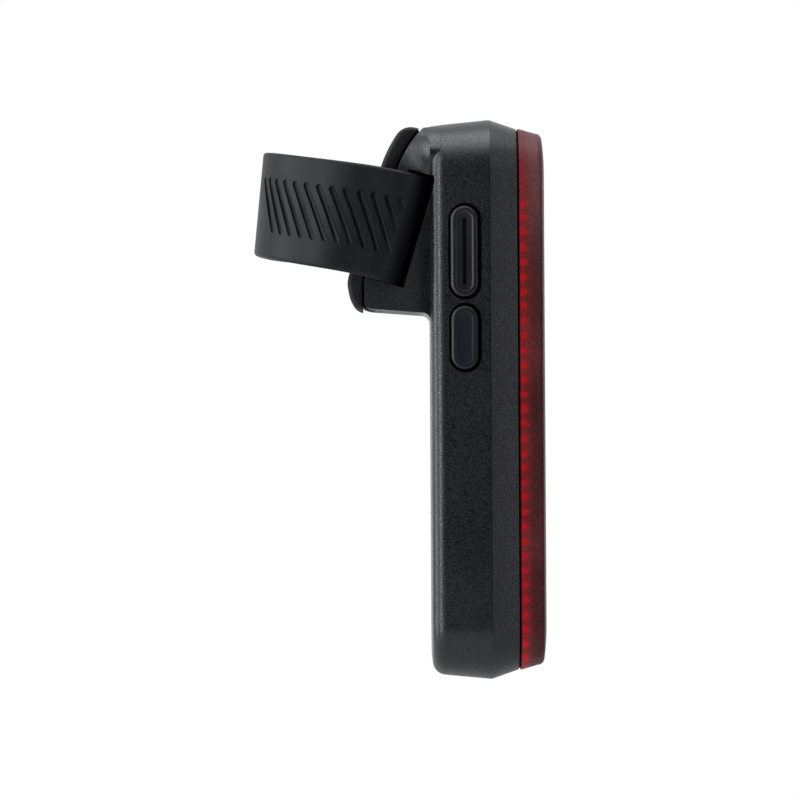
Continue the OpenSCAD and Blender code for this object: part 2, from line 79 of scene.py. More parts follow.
def arc(centre, radius, start, stop, steps):
    turns = [math.radians(start + (stop - start) * i / steps) for i in range(steps + 1)]
    return [(centre[0] + radius * math.cos(a), centre[1] + radius * math.sin(a)) for a in turns]


# small steps of hand modelling
def editMode(on=True):
    bpy.ops.object.mode_set(mode='EDIT' if on else 'OBJECT')


def clearPick():
    if bpy.context.object and bpy.context.object.mode != 'OBJECT':
        editMode(False)
    bpy.ops.object.select_all(action='DESELECT')


def activate(piece):
    clearPick()
    piece.select_set(True)
    bpy.context.view_layer.objects.active = piece


def pickFaces(piece, test):
    editMode(False)
    mesh = piece.data
    for group in (mesh.vertices, mesh.edges):
        group.foreach_set("select", [False] * len(group))
    for face in mesh.polygons:
        face.select = test(face.center / mm, face.normal)
    bpy.context.tool_settings.mesh_select_mode = (False, False, True)
    editMode()


def pickEdges(piece, test):
    editMode(False)
    mesh = piece.data
    for group in (mesh.vertices, mesh.polygons):
        group.foreach_set("select", [False] * len(group))
    for edge in mesh.edges:
        a, b = (mesh.vertices[i].co / mm for i in edge.vertices)
        edge.select = test(a, b)
    bpy.context.tool_settings.mesh_select_mode = (False, True, False)
    editMode()


def pull(step):
    bpy.ops.mesh.extrude_region_move(TRANSFORM_OT_translate={"value": step})


def stepIn(inward, outward):  # a ring drawn in and moved along the face's normal, in millimetres
    bpy.ops.mesh.inset(thickness=inward * mm, depth=outward * mm, use_even_offset=True)


def roundOver(radius, steps):  # quarter round, ring by ring
    turns = [math.pi / 2 * i / steps for i in range(steps + 1)]
    for a, b in zip(turns, turns[1:]):
        stepIn(radius * (math.cos(a) - math.cos(b)), radius * (math.sin(b) - math.sin(a)))


def faceOut(piece):
    editMode()
    bpy.ops.mesh.select_all(action='SELECT')
    bpy.ops.mesh.remove_doubles(threshold=0.002 * mm)
    bpy.ops.mesh.normals_make_consistent(inside=False)
    editMode(False)


def drawLine(name, points):  # one vertex drawn along the points
    clearPick()
    bpy.ops.mesh.primitive_plane_add(size=mm)
    piece = bpy.context.object
    piece.name = name
    editMode()
    bpy.ops.mesh.select_mode(type='VERT')
    bpy.ops.mesh.select_all(action='SELECT')
    bpy.ops.mesh.merge(type='CENTER')
    bpy.ops.transform.translate(value=points[0])
    for here, there in zip(points, points[1:]):
        bpy.ops.mesh.extrude_vertices_move(TRANSFORM_OT_translate={"value": there - here})
    return piece


def slab(name, points, thickness):  # the line closed, filled and pulled to a slab
    piece = drawLine(name, points)
    bpy.ops.mesh.select_all(action='SELECT')
    bpy.ops.mesh.edge_face_add()
    pull(thickness)
    faceOut(piece)
    return piece


def plate(name, place, width, height, radius, steps, turn):  # flat plate with round corners
    clearPick()
    bpy.ops.mesh.primitive_plane_add(size=1, location=place, rotation=turn)
    piece = bpy.context.object
    piece.name = name
    piece.scale = (width * mm, height * mm, 1)
    bpy.ops.object.transform_apply(location=True, rotation=True, scale=True)
    editMode()
    bpy.ops.mesh.select_mode(type='VERT')
    bpy.ops.mesh.select_all(action='SELECT')
    bpy.ops.mesh.bevel(offset=radius * mm, segments=steps, affect='VERTICES', profile=0.5)
    bpy.ops.mesh.remove_doubles(threshold=0.02 * mm)
    bpy.ops.mesh.select_mode(type='FACE')
    bpy.ops.mesh.select_all(action='SELECT')
    return piece


facingFront = (math.pi / 2, 0, math.pi / 2)  # a plate seen from the lens side
facingSide = (math.pi / 2, 0, 0)             # a plate seen from the button side
fullRound = 0.4999                           # corner radius of an oval, by its width


def roundEdges(radius, steps):
    bpy.ops.mesh.bevel(offset=radius * mm, segments=steps, affect='EDGES', profile=0.5)


def modify(piece, kind, **settings):
    activate(piece)
    tool = piece.modifiers.new(kind.title(), kind)
    for key, value in settings.items():
        setattr(tool, key, value)
    bpy.ops.object.modifier_apply(modifier=tool.name)


def softEdges(piece, width, steps, angle):  # bevel on the edges sharper than that angle
    modify(piece, 'BEVEL', width=width * mm, segments=steps, limit_method='ANGLE',
           angle_limit=math.radians(angle))


def combine(piece, other, operation):
    modify(piece, 'BOOLEAN', operation=operation, solver='MANIFOLD', object=other)
    bpy.data.objects.remove(other)


def copyOf(piece, name):
    twin = piece.copy()
    twin.data = piece.data.copy()
    twin.name = name
    bpy.context.collection.objects.link(twin)
    return twin


def joinPieces(piece, others):
    clearPick()
    for other in others:
        other.select_set(True)
    piece.select_set(True)
    bpy.context.view_layer.objects.active = piece
    bpy.ops.object.join()


def softShade(piece, angle):
    activate(piece)
    bpy.ops.object.shade_smooth_by_angle(angle=math.radians(angle))


def dress(piece, material, body, slotName, *nodes):
    activate(piece)
    bpy.ops.object.transform_apply(location=True, rotation=True, scale=True)
    piece.data.name = piece.name
    piece.data.materials.clear()
    piece.data.materials.append(material)
    if body:
        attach(piece, body)
    if nodes:
        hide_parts(*nodes)
    print("piece done:", piece.name, len(piece.data.polygons), "faces")


# shader sums as plain expressions
class Wire:
    def __init__(self, tree, socket=None):
        self.tree, self.socket = tree, socket

    def make(self, kind, settings, inputs, output=0):
        node = self.tree.nodes.new(kind)
        for key, value in settings.items():
            setattr(node, key, value)
        for key, value in inputs.items():
            if isinstance(value, Wire):
                self.tree.links.new(value.socket, node.inputs[key])
            else:
                node.inputs[key].default_value = value
        return Wire(self.tree, node.outputs[output])

    def sum(self, operation, first, second):
        return self.make("ShaderNodeMath", {"operation": operation}, {0: first, 1: second})

    def __add__(self, other):
        return self.sum("ADD", self, other)

    def __sub__(self, other):
        return self.sum("SUBTRACT", self, other)

    def __rsub__(self, other):
        return self.sum("SUBTRACT", other, self)

    def __mul__(self, other):
        return self.sum("MULTIPLY", self, other)

    def above(self, low, high):  # 0 below low, 1 over high, smooth between
        return self.make("ShaderNodeMapRange", {"interpolation_type": 'SMOOTHSTEP'},
                         {0: self, 1: low, 2: high, 3: 0.0, 4: 1.0})

    def tint(self, dark, light):  # colour mix with this value as the factor
        return self.make("ShaderNodeMix", {"data_type": 'RGBA'}, {0: self, 6: dark, 7: light}, 2)

    def grain(self, size, detail=2.0, roughness=0.5):  # noise with spots of that size in millimetres
        place = self.make("ShaderNodeTexCoord", {}, {}, "Object")
        return self.make("ShaderNodeTexNoise", {}, {"Vector": place, "Scale": 1 / (size * mm),
                                                    "Detail": detail, "Roughness": roughness})

    def axis(self, name):  # one coordinate in millimetres
        place = self.make("ShaderNodeTexCoord", {}, {}, "Object")
        return self.make("ShaderNodeSeparateXYZ", {}, {0: place}, name) * 1000.0

    def bump(self, height, depth):  # depth in millimetres
        return self.make("ShaderNodeBump", {}, {"Height": height, "Distance": depth * mm, "Strength": 1.0})


def rgb(red, green, blue):
    return (red, green, blue, 1.0)


def finishOf(name, recipe, **fixed):
    material = bpy.data.materials.new(name)
    material.use_nodes = True
    tree = material.node_tree
    shader = tree.nodes["Principled BSDF"]
    for key, value in fixed.items():
        shader.inputs[key.replace("_", " ")].default_value = value
    for key, value in recipe(Wire(tree)).items():
        tree.links.new(value.socket, shader.inputs[key.replace("_", " ")])
    return material


# moulded finish: tint, fine grain in the surface, and a slow drift of gloss
def mouldedFinish(name, dark, light, size, depth, gloss, drift=0.08, **fixed):
    def recipe(wire):
        fine = wire.grain(size, 2.0)
        slow = wire.grain(9.0, 3.0)
        return {"Base_Color": (fine * 0.7 + slow * 0.3).above(0.3, 0.7).tint(dark, light),
                "Roughness": slow.above(0.3, 0.7) * drift + (fine * 0.1 + (gloss - drift / 2 - 0.05)),
                "Normal": wire.bump(fine, depth)}
    return finishOf(name, recipe, **fixed)


# camera at the photograph's angle
view = {"aim": inBody(-5.55, 0, 0), "away": 700.0, "lens": 173.7, "roll": 0.35}
cameraData = bpy.data.cameras.new("photoCamera")
cameraData.lens = view["lens"]
cameraData.sensor_width = 36.0
camera = bpy.data.objects.new("photoCamera", cameraData)
camera.location = view["aim"] - Vector((0, view["away"] * mm, 0))
camera.rotation_euler = (math.pi / 2, math.radians(view["roll"]), 0)
bpy.context.collection.objects.link(camera)
bpy.context.scene.camera = camera
print("camera set")


# housing: a shell worked from its crease both ways, with the saddle block on its back
housing = {"height": 100.0, "width": 38.0, "depth": 15.4, "crease": 10.5, "creaseBand": 0.3,
           "corner": 10.0, "backDraft": 1.0, "frontDraft": 1.6, "backRound": 2.5, "roundSteps": 7,
           "sideWall": 1.2, "backWall": 2.0, "lipRound": 0.15}
block = {"halfWidth": 14.5, "top": 48.45, "bottom": 15.5, "rise": 0.7, "reach": 11.7, "faceU": 7.886,
         "shoulderR": 21.0, "shoulderV": 11.3, "heelR": 1.2, "fillet": 1.5, "sunk": 0.05, "inset": 0.82,
         "swing": 37.5, "swingLead": (0, 3.0), "meetTurn": 30, "meetLead": (1.0, -1.73), "swingSteps": 10,
         "padSwing": 41.5, "padCorner": 46.5, "padTurn": 65, "padSteps": 8, "fade": 5.5, "fadeRings": 10,
         "edge": 0.9}
seat = {"post": 11.1, "lining": 1.22, "strapUp": 2.2, "slotHalf": 10.0, "slotU": 14.88, "slotOver": 0.8,
        "slotPast": 3.0, "hookOut": 9.7, "hookIn": 9.8, "hookBend": [(11.3, -12.2), (12.2, -10.6)],
        "hookY": -8.4, "pinRim": 9.6, "pinY": 10.0}
controls = {"x": 6.0, "floor": 16.4, "face": 18.97, "gap": 0.3, "flare": 0.3, "flareIn": 0.55,
            "portZ": 26.2, "coverLong": 16.1, "coverWide": 4.9, "mouthLong": 9.54, "mouthWide": 3.86,
            "mouthDeep": 2.6,
            "plugUp": 0.3, "plugLong": 7.4, "plugWide": 2.2, "plugDeep": 1.4, "plugRound": 0.4,
            "buttonZ": 10.95, "buttonLong": 11.3, "buttonWide": 4.8, "wellDeep": 1.6, "stemDeep": 0.5,
            "rounding": [(0.08, 0.2), (0.12, 0.14), (0.16, 0.08), (0.16, 0.02)],
            "coverRim": [(0.3, 0.0), (0.1, -0.02), (0.18, -0.09), (0.1, -0.02), (0.9, 0.0), (0.03, -0.05),
                         (0.05, -0.7)],
            "buttonRim": [(0.28, 0.0), (0.12, -0.02), (0.22, -0.07), (0.14, -0.02)]}


def blockProfile(grow=0.0, drop=0.0):  # side view of the block, as the housing's x and z
    b = block
    face = b["faceU"] - grow
    shoulder = sidePoint(b["faceU"] + b["shoulderR"], b["shoulderV"])
    radius = b["shoulderR"] + grow
    topTurn = math.degrees(math.asin((b["top"] - shoulder[1]) / radius))
    heel = -b["reach"] - grow
    heelV = (heel - sidePoint(face, 0)[0]) / math.sin(postTilt)
    low = b["bottom"] - drop
    root = housing["backWall"] / 2
    meet = housing["height"] / 2 - housing["backDraft"] + b["sunk"]
    return ([(housing["backWall"] - b["sunk"], meet + grow)]
            + arc(shoulder, radius, 180 - topTurn, 180 - math.degrees(postTilt), 14)
            + [sidePoint(face, heelV)]
            + arc((heel + b["heelR"], low + b["rise"] + b["heelR"]), b["heelR"], 180, 270, 5)
            + arc((-b["fillet"], low - b["fillet"]), b["fillet"], 90, 0, 6)
            + [(root, low - b["fillet"])])


def sideSlab(name, profile, halfWidth):
    points = [inBody(x, halfWidth, z) for x, z in profile]
    return slab(name, points, Vector((0, -2 * halfWidth * mm, 0)))


def postSlab(name, plan, low, high):  # a plan of u and y pulled along the seatpost
    points = [onPost(u, y, low) for u, y in plan]
    return slab(name, points, onPost(0, 0, high - low))


def postCylinder(name, radius):
    clearPick()
    bpy.ops.mesh.primitive_cylinder_add(vertices=128, radius=radius * mm, depth=120 * mm,
                                        rotation=(0, postTilt, 0))
    bpy.context.object.name = name
    bpy.ops.object.transform_apply(location=True, rotation=True, scale=True)
    return bpy.context.object


def sideOval(name, z, long, wide, inner, outer):  # oval bar through the button side
    c = controls
    bar = plate(name, inBody(c["x"], -inner, z), wide, long, wide * fullRound, 12, facingSide)
    pull(Vector((0, (inner - outer) * mm, 0)))
    return bar


def makeShell():
    h = housing
    shell = plate("housingShell", inBody(h["crease"] - h["creaseBand"] / 2, 0, 0),
                  h["width"], h["height"], h["corner"], 12, facingFront)
    pull(Vector((h["creaseBand"] * mm, 0, 0)))
    faceOut(shell)
    # forwards to the seam, over its lip and down into the hollow
    lip = h["lipRound"]
    pickFaces(shell, lambda c, n: n.x > 0.9)
    stepIn(h["frontDraft"], h["depth"] - h["crease"] - h["creaseBand"] / 2 - lip)
    stepIn(lip * 0.3, lip * 0.7)
    stepIn(lip * 0.7, lip * 0.3)
    stepIn(h["sideWall"] - lip, 0)
    pull(Vector(((h["backWall"] - h["depth"]) * mm, 0, 0)))
    # back to the rounded rear edge
    pickFaces(shell, lambda c, n: n.x < -0.9 and c.x < postBack + h["crease"])
    draft = h["backDraft"] * (1 - h["backRound"] / h["crease"])
    stepIn(draft, h["crease"] - h["creaseBand"] / 2 - h["backRound"])
    roundOver(h["backRound"], h["roundSteps"])
    editMode(False)
    return shell


def topCorner(start, steps):  # just inside the housing's corner
    h = housing
    centre = h["width"] / 2 - h["corner"], h["height"] / 2 - h["corner"]
    return arc(centre, h["corner"] - block["inset"], start, 90, steps)


def blockFront():  # half of the block's outline from behind, from the foot up, where it meets the housing
    b = block
    top = topCorner(b["meetTurn"], 10)
    start, meet = Vector((b["halfWidth"], b["swing"])), Vector(top[0])
    lead = start + Vector(b["swingLead"]), meet + Vector(b["meetLead"])
    swing = []
    for i in range(b["swingSteps"]):
        t = i / b["swingSteps"]
        spot = ((1 - t) ** 3 * start + 3 * t * (1 - t) ** 2 * lead[0]
                + 3 * t * t * (1 - t) * lead[1] + t ** 3 * meet)
        swing.append(tuple(spot))
    return [(b["halfWidth"], 0.0)] + swing + top


def blockAway():  # the same half outline where the block meets the pad
    b = block
    top = topCorner(b["padTurn"], 5)
    start, corner = Vector((b["halfWidth"], b["padSwing"])), Vector((b["halfWidth"], b["padCorner"]))
    meet = Vector(top[0])
    bend = []
    for i in range(b["padSteps"]):
        t = i / b["padSteps"]
        bend.append(tuple((1 - t) ** 2 * start + 2 * t * (1 - t) * corner + t ** 2 * meet))
    return [(b["halfWidth"], 0.0)] + bend + top


def acrossAt(outline, height):  # half width of the outline at that height
    for (y, z), (nextY, nextZ) in zip(outline, outline[1:]):
        if z <= height <= nextZ:
            return y + (nextY - y) * (height - z) / (nextZ - z)
    return outline[-1][0]


def drawIn(piece):  # the swung-out top fades to the plain outline in a hollow curve
    b = block
    activate(piece)
    for i in range(b["fadeRings"]):
        editMode()
        bpy.ops.mesh.select_all(action='SELECT')
        bpy.ops.mesh.bisect(plane_co=inBody(-b["fade"] * i / (b["fadeRings"] - 1), 0, 0), plane_no=(1, 0, 0))
        editMode(False)
    near, far = blockFront(), blockAway()
    for vertex in piece.data.vertices:
        x, z = vertex.co.x / mm - postBack, vertex.co.z / mm + postUp
        run = min(1.0, max(0.0, 1 + x / b["fade"]))
        narrow = acrossAt(far, z) / acrossAt(near, z)
        vertex.co.y *= narrow + (1 - narrow) * run * run


def makeBlock():
    b = block
    piece = sideSlab("saddleBlock", blockProfile(), housing["width"] / 2)
    right = blockFront()
    both = right + [(-y, z) for y, z in reversed(right)]
    behind, depth = -25, 30
    outline = slab("blockOutline", [inBody(behind, y, z) for y, z in both], Vector((depth * mm, 0, 0)))
    combine(piece, outline, 'INTERSECT')
    faceOut(piece)
    softEdges(piece, b["edge"], 4, 35)
    drawIn(piece)
    return piece


def makeHousing():
    c, s = controls, seat
    piece = makeShell()
    combine(piece, makeBlock(), 'UNION')
    combine(piece, postCylinder("seatCut", s["post"] + s["lining"]), 'DIFFERENCE')
    low, high = s["strapUp"] - s["slotHalf"], s["strapUp"] + s["slotHalf"]
    half = block["halfWidth"]
    far = half + s["slotPast"]
    hookPlan = ([(s["hookOut"], -far), (s["hookIn"], -half)] + s["hookBend"]
                + [(s["slotU"], s["hookY"]), (s["slotU"], -far)])
    pinPlan = [(s["pinRim"], s["pinY"]), (s["slotU"], s["pinY"]), (s["slotU"], far), (s["pinRim"], far)]
    for plan, over in ((hookPlan, s["slotOver"]), (pinPlan, 0.0)):
        combine(piece, postSlab("strapSlot", plan, low + over / 3, high + over), 'DIFFERENCE')
    gap = 2 * c["gap"]
    edge = c["face"] - c["flareIn"]
    wells = ((c["portZ"], c["coverLong"], c["coverWide"], c["floor"]),
             (c["buttonZ"], c["buttonLong"], c["buttonWide"], c["floor"] - c["wellDeep"]))
    for z, long, wide, inner in wells:
        cut = sideOval("controlCut", z, long + gap, wide + gap, inner, edge)
        bpy.ops.mesh.inset(thickness=c["flare"] * mm, depth=c["flare"] * mm, use_outset=True)
        pull(Vector((0, -2 * mm, 0)))
        faceOut(cut)
        combine(piece, cut, 'DIFFERENCE')
    mouth = sideOval("mouthCut", c["portZ"], c["mouthLong"], c["mouthWide"], c["floor"] - c["mouthDeep"],
                     c["floor"] + 1)
    faceOut(mouth)
    combine(piece, mouth, 'DIFFERENCE')
    faceOut(piece)
    return piece


housingPiece = makeHousing()
softShade(housingPiece, 28)
modify(housingPiece, 'WEIGHTED_NORMAL', keep_sharp=True)
print("housing modelled")


# lens: a crowned cover, hollow behind
lens = {"seam": 15.75, "halfWidth": 17.4, "halfHeight": 48.4, "corner": 8.4, "lip": 0.12,
        "sideX": 18.8, "draft": 0.85, "round": 1.2, "roundSteps": 6, "crown": 0.4, "crownSteps": 5,
        "crownIn": 5.5, "wall": 1.6}


def makeLens():
    l = lens
    piece = plate("lensCover", inBody(l["seam"], 0, 0), 2 * l["halfWidth"], 2 * l["halfHeight"],
                  l["corner"], 12, facingFront)
    pull(Vector((l["lip"] * mm, 0, 0)))
    faceOut(piece)
    pickFaces(piece, lambda c, n: n.x > 0.9)
    stepIn(l["draft"], l["sideX"] - l["seam"] - l["lip"])
    roundOver(l["round"], l["roundSteps"])
    n = l["crownSteps"]
    for i in range(n):
        rise = ((1 - i / n) ** 2 - (1 - (i + 1) / n) ** 2) * l["crown"]
        stepIn(l["crownIn"] / n, rise)
    pickFaces(piece, lambda c, n: n.x < -0.9)
    bpy.ops.mesh.delete(type='FACE')
    faceOut(piece)
    modify(piece, 'SOLIDIFY', thickness=l["wall"] * mm, offset=-1.0, use_even_offset=True)
    softShade(piece, 40)
    return piece


# light guide: a frame behind the lens with ribs along its outside
guide = {"x": 15.5, "depth": 1.9, "halfWidth": 14.38, "halfHeight": 45.38, "corner": 5.5, "bar": 1.8,
         "round": 0.35, "ribPitch": 2.6, "ribRadius": 0.5, "ribRound": 0.15, "ribShort": 0.3, "ribsSide": 31,
         "ribsEnd": 7}


def makeGuide():
    g = guide
    piece = plate("lightGuideFrame", inBody(g["x"], 0, 0), 2 * g["halfWidth"], 2 * g["halfHeight"],
                  g["corner"], 8, facingFront)
    stepIn(g["bar"], 0)
    bpy.ops.mesh.delete(type='FACE')
    bpy.ops.mesh.select_all(action='SELECT')
    pull(Vector((g["depth"] * mm, 0, 0)))
    faceOut(piece)
    pickEdges(piece, lambda p, q: min(p.x, q.x) > postBack + g["x"] + g["depth"] - 0.01)
    roundEdges(g["round"], 2)
    editMode(False)
    clearPick()
    bpy.ops.mesh.primitive_cylinder_add(vertices=14, radius=g["ribRadius"] * mm,
                                        depth=(g["depth"] - g["ribShort"]) * mm, rotation=(0, math.pi / 2, 0))
    rib = bpy.context.object
    bpy.ops.object.transform_apply(location=True, rotation=True, scale=True)
    pickEdges(rib, lambda p, q: abs(p.x - q.x) < 0.01)
    roundEdges(g["ribRound"], 2)
    editMode(False)
    midX = g["x"] + g["depth"] / 2
    places = []
    for side in (1, -1):
        for i in range(g["ribsSide"]):
            places.append((side * g["halfWidth"], (i - (g["ribsSide"] - 1) / 2) * g["ribPitch"]))
        for i in range(g["ribsEnd"]):
            places.append(((i - (g["ribsEnd"] - 1) / 2) * g["ribPitch"], side * g["halfHeight"]))
    ribs = []
    for y, z in places:
        ribs.append(copyOf(rib, "guideRib"))
        ribs[-1].location = inBody(midX, y, z)
    bpy.data.objects.remove(rib)
    joinPieces(piece, ribs)
    softShade(piece, 40)
    return piece


# side controls: a soft rim round a lowered middle
def softOval(name, z, long, wide, inner, rim):
    c = controls
    proud = sum(step[1] for step in c["rounding"])
    piece = sideOval(name, z, long, wide, inner, c["face"] - proud)
    for inward, outward in c["rounding"] + rim:
        stepIn(inward, outward)
    faceOut(piece)
    return piece


def makeCover():
    c = controls
    piece = softOval("portCover", c["portZ"], c["coverLong"], c["coverWide"], c["floor"] + c["gap"],
                     c["coverRim"])
    end = c["floor"] - c["plugDeep"]
    plug = sideOval("coverPlug", c["portZ"] + c["plugUp"], c["plugLong"], c["plugWide"], end, c["floor"] + 1)
    faceOut(plug)
    pickEdges(plug, lambda p, q: min(p.y, q.y) > -end - 0.01)
    roundEdges(c["plugRound"], 3)
    faceOut(plug)
    combine(piece, plug, 'UNION')
    softShade(piece, 40)
    return piece


def makeButton():
    c = controls
    stem = c["floor"] - c["stemDeep"]
    piece = softOval("powerButton", c["buttonZ"], c["buttonLong"], c["buttonWide"], stem, c["buttonRim"])
    softShade(piece, 40)
    return piece


# saddle pad: soft rim along the block, lined through to the seatpost
pad = {"half": 12.0, "rimU": 4.866, "above": 20.6, "tipR": 3.1, "gap": 0.5, "core": 1.2, "coreUp": 0.4,
       "heel": 0.4, "drop": 4.4, "edge": 0.8, "soft": 0.4,
       "foot": [(9.5, -13.3), (8.6, -13.42), (7.8, -13.27), (7.15, -12.93), (6.63, -12.45), (6.25, -11.95),
                (5.91, -11.38), (5.4, -10.4), (5.0, -9.4), (4.88, -8.4)]}


def padSlab(name, half, inset, edge, lift=0.0):
    p = pad
    back = seat["post"] + seat["lining"] + 1
    shoulder = (block["faceU"] + block["shoulderR"], block["shoulderV"])
    outer = shoulder[0] - p["rimU"]
    tipV = p["above"] + lift - p["tipR"]
    lean = math.asin((tipV - shoulder[1]) / (outer - p["tipR"]))
    tip = (shoulder[0] - (outer - p["tipR"]) * math.cos(lean), tipV)
    turned = 180 - math.degrees(lean)
    foot = [(u + inset, v + inset * p["heel"]) for u, v in p["foot"]]
    profile = ([(back, foot[0][1] + 1.0)] + foot
               + arc(shoulder, outer - inset, 180, turned, 8)
               + arc(tip, p["tipR"] - inset, turned, 90, 10)[1:]
               + [(back, p["above"] + lift - inset)])
    points = [onPost(u, half, v) for u, v in profile]
    piece = slab(name, points, Vector((0, -2 * half * mm, 0)))
    if edge:
        pickEdges(piece, lambda a, b: a.y * b.y > 0 and min(abs(a.y), abs(b.y)) > half - 0.01
                  and min(acrossPost(a), acrossPost(b)) < back - 0.1)
        roundEdges(edge, 4)
        faceOut(piece)
    return piece


def acrossPost(p):  # u of a point in millimetres
    return p.x * math.cos(postTilt) - p.z * math.sin(postTilt)


def alongPost(p):  # v of a point in millimetres
    return p.x * math.sin(postTilt) + p.z * math.cos(postTilt)


def makePad():
    p, s = pad, seat
    piece = padSlab("saddlePad", p["half"], 0.0, p["edge"])
    combine(piece, sideSlab("gapCut", blockProfile(p["gap"], p["drop"]), p["half"] + 1), 'DIFFERENCE')
    softEdges(piece, p["soft"], 3, 50)
    core = padSlab("padCore", p["half"] - p["core"], p["core"], 0.0, p["core"] - p["coreUp"])
    lining = copyOf(core, "padLining")
    combine(core, sideSlab("coreCut", blockProfile(0.0, p["drop"]), p["half"] + 1), 'DIFFERENCE')
    combine(lining, postCylinder("liningRound", s["post"] + s["lining"] - 0.02), 'INTERSECT')
    combine(piece, core, 'UNION')
    combine(piece, lining, 'UNION')
    combine(piece, postCylinder("postCut", s["post"]), 'DIFFERENCE')
    faceOut(piece)
    softShade(piece, 30)
    return piece


# strap: one ribbon from the pin round the post to the hook, with grip grooves
strap = {"width": 19.0, "thickness": 2.3, "ringU": 2.5, "inner": 15.2, "up": 2.2, "hookU": 13.88,
         "bend": 3.2, "pinBend": 0.7, "pinU": 12.18, "pinY": 12.6, "eye": 2.1, "ringSteps": 72,
         "edge": 0.6, "grooves": 13, "pitch": 2.44, "first": 3.5, "grooveWide": 1.05, "grooveLong": 11.5,
         "grooveDeep": 0.7, "slant": 32.0, "lean": 11.0, "sink": 2.35, "lift": 0.25, "farLift": 1.3,
         "tuck": 0.33, "droopFrom": 12.0, "widen": 1.045, "narrow": 0.06, "rows": 12, "pinOver": 0.5,
         "rimSlack": 0.8, "hookRun": 5.0, "grooveRound": 0.3}


def between(a, b, n):  # inner points of a straight run in n steps
    return [(a[0] + (b[0] - a[0]) * i / n, a[1] + (b[1] - a[1]) * i / n) for i in range(1, n)]


def strapPath():
    s = strap
    mid = s["inner"] + s["thickness"] / 2
    hookTurn, pinTurn = s["bend"] + s["thickness"] / 2, s["pinBend"] + s["thickness"] / 2
    hookC = (s["hookU"] - s["bend"] - s["thickness"], -s["inner"] + s["bend"])
    pinC = (s["pinU"] - pinTurn, s["inner"] - s["pinBend"])
    ring = arc((s["ringU"], 0), mid, 90, 270, s["ringSteps"])
    toHook = between(ring[-1], (hookC[0], -mid), 8)
    fromPin = between((pinC[0], mid), ring[0], 6)
    return ([(s["pinU"], s["pinY"] + s["pinOver"])] + arc(pinC, pinTurn, 0, 90, 6) + fromPin + ring + toHook
            + arc(hookC, hookTurn, 270, 358, 12))


def makeStrap():
    s = strap

    def atRim(p):
        return abs(abs(alongPost(p) - s["up"]) - s["width"] / 2) < 0.01

    low = s["up"] - s["width"] / 2
    piece = drawLine("strapLoop", [onPost(u, y, low) for u, y in strapPath()])
    bpy.ops.mesh.select_all(action='SELECT')
    for i in range(s["rows"]):
        pull(onPost(0, 0, s["width"] / s["rows"]))
    editMode(False)
    modify(piece, 'SOLIDIFY', thickness=s["thickness"] * mm, offset=0.0, use_even_offset=True)
    faceOut(piece)
    pickEdges(piece, lambda p, q: atRim(p) and atRim(q) and overRim(p, q))
    roundEdges(s["edge"], 3)
    faceOut(piece)
    combine(piece, makeGrooves(), 'DIFFERENCE')
    clearPick()
    bpy.ops.mesh.primitive_cylinder_add(vertices=40, radius=s["eye"] * mm, depth=s["width"] * mm,
                                        location=onPost(s["pinU"], s["pinY"], s["up"]),
                                        rotation=(0, postTilt, 0))
    eye = bpy.context.object
    bpy.ops.object.transform_apply(location=True, rotation=True, scale=True)
    pickEdges(eye, lambda p, q: atRim(p) and atRim(q))
    roundEdges(s["edge"], 3)
    editMode(False)
    combine(piece, eye, 'UNION')
    faceOut(piece)
    letDroop(piece)
    softShade(piece, 36)
    return piece


def letDroop(piece):  # the free end of the loop leans back and sinks a little
    s = strap
    run = s["droopFrom"] + s["thickness"] + s["inner"] - s["ringU"]
    for vertex in piece.data.vertices:
        p = vertex.co / mm
        u, v = acrossPost(p), alongPost(p)
        t = min(1.0, max(0.0, (s["droopFrom"] - u) / run))
        lean = math.radians(s["lean"]) * t ** 1.5
        sink = s["sink"] * t * t * (3 - 2 * t)
        raised = s["lift"] + s["farLift"] * math.sin(math.pi * t) * min(1.0, max(0.0, p.y / s["inner"]))
        offset = (v - s["up"]) * (s["widen"] - s["narrow"] * t)
        back, high = offset * math.sin(lean), offset * math.cos(lean)
        vertex.co = onPost(u + s["tuck"] * t - back, p.y, s["up"] + raised - sink + high)


def overRim(p, q):  # an edge along the strap, not one across its thickness
    s = strap

    def offset(point):
        u = acrossPost(point) - s["ringU"]
        return math.hypot(u, point.y) if u < 0 else abs(point.y)

    return abs(offset(p) - offset(q)) < s["rimSlack"] or acrossPost(p) > s["hookU"] - s["hookRun"]


def makeGrooves():
    s = strap
    outer = s["inner"] + s["thickness"]
    cutters = []
    for i in range(s["grooves"]):
        run = (i + s["first"]) * s["pitch"]
        turn = min(math.pi / 2, run / outer)
        past = max(0.0, run - outer * math.pi / 2)
        cut = plate("gripGroove", (0, 0, 0), s["grooveWide"], s["grooveLong"], s["grooveWide"] * fullRound, 6,
                    facingSide)
        pull(Vector((0, 2 * s["grooveDeep"] * mm, 0)))
        faceOut(cut)
        pickEdges(cut, lambda p, q: min(p.y, q.y) > 2 * s["grooveDeep"] - 0.01)
        roundEdges(s["grooveRound"], 3)
        faceOut(cut)
        cut.data.transform(groovePlace(turn, past, outer))
        cutters.append(cut)
    joinPieces(cutters[0], cutters[1:])
    return cutters[0]


def groovePlace(turn, past, outer):  # slanted on the strap, then set round its ring
    s = strap
    slant = Matrix.Rotation(math.radians(-s["slant"]), 4, 'Y')
    out = Matrix.Translation(Vector((0, -outer - s["grooveDeep"], 0)) * mm)
    ring = Matrix.Rotation(turn - math.pi / 2, 4, 'Z')
    lift = Matrix.Translation(Vector((s["ringU"] + past, 0, s["up"])) * mm)
    return Matrix.Rotation(postTilt, 4, 'Y') @ lift @ ring @ out @ slant


lensPiece = makeLens()
guidePiece = makeGuide()
coverPiece = makeCover()
buttonPiece = makeButton()
padPiece = makePad()
strapPiece = makeStrap()
print("pieces modelled")


